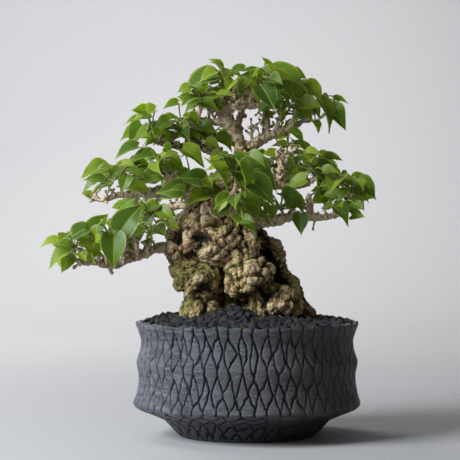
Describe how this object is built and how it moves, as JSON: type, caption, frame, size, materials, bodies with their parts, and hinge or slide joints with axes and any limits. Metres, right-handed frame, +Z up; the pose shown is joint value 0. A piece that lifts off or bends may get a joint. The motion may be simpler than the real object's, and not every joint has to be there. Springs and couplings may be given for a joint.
{
  "type": "bonsai tree in a pot",
  "caption": "Small bonsai with a massive gnarled trunk, spreading branches and heart-shaped leaves, in a round dark stoneware pot carved with a net of grooves.",
  "frame": {"origin": "centre of the pot's flat foot, on the plane it stands on", "axes": "+Z up, -Y towards the front of the tree, +X to the viewer's right, so the long low branch points towards -X"},
  "size_m": [0.2127, 0.1564, 0.2478],
  "materials": {
    "dark_stoneware": "matte",
    "screen_plastic": "matte",
    "pumice_gravel": "matte",
    "potting_soil": "matte",
    "lava_grit": "matte",
    "knobbly_bark": "matte",
    "branch_bark": "matte",
    "leafy_shoot": "satin"
  },
  "bodies": {
    "root": {"branch_back_left": "branch_bark", "branch_back_right": "branch_bark", "branch_crown_back": "branch_bark", "branch_front": "branch_bark", "branch_low_left": "branch_bark", "branch_low_right": "branch_bark", "branch_mid_left": "branch_bark", "branch_mid_right": "branch_bark", "branch_upper_left": "branch_bark", "drain_screen_1": "screen_plastic", "drain_screen_2": "screen_plastic", "drain_screen_3": "screen_plastic", "drainage_gravel": "pumice_gravel", "limb_crown_left": "branch_bark", "limb_crown_right": "branch_bark", "pot": "dark_stoneware", "potting_soil": "potting_soil", "shoot_back_left_outer": "leafy_shoot", "shoot_back_left_shoulder": "leafy_shoot", "shoot_back_left_tip": "leafy_shoot", "shoot_back_right_shoulder": "leafy_shoot", "shoot_back_right_tip": "leafy_shoot", "shoot_crown_back": "leafy_shoot", "shoot_crown_back_left": "leafy_shoot", "shoot_crown_back_right": "leafy_shoot", "shoot_crown_front": "leafy_shoot", "shoot_crown_left_low": "leafy_shoot", "shoot_crown_left_top": "leafy_shoot", "shoot_crown_right_back": "leafy_shoot", "shoot_crown_right_low": "leafy_shoot", "shoot_crown_right_tip": "leafy_shoot", "shoot_crown_right_top": "leafy_shoot", "shoot_crown_top": "leafy_shoot", "shoot_front_centre": "leafy_shoot", "shoot_front_low": "leafy_shoot", "shoot_low_left_back": "leafy_shoot", "shoot_low_left_inner": "leafy_shoot", "shoot_low_left_shoulder": "leafy_shoot", "shoot_low_left_tip": "leafy_shoot", "shoot_low_right_back": "leafy_shoot", "shoot_low_right_inner": "leafy_shoot", "shoot_low_right_tip": "leafy_shoot", "shoot_low_right_upper": "leafy_shoot", "shoot_mid_left_back": "leafy_shoot", "shoot_mid_left_front": "leafy_shoot", "shoot_mid_left_shoulder": "leafy_shoot", "shoot_mid_left_tip": "leafy_shoot", "shoot_mid_left_upper": "leafy_shoot", "shoot_mid_right_back": "leafy_shoot", "shoot_mid_right_shoot": "leafy_shoot", "shoot_mid_right_tip": "leafy_shoot", "shoot_upper_left_back": "leafy_shoot", "shoot_upper_left_inner": "leafy_shoot", "shoot_upper_left_shoulder": "leafy_shoot", "shoot_upper_left_tip": "leafy_shoot", "top_dressing": "lava_grit", "trunk": "knobbly_bark"}
  },
  "joints": []
}
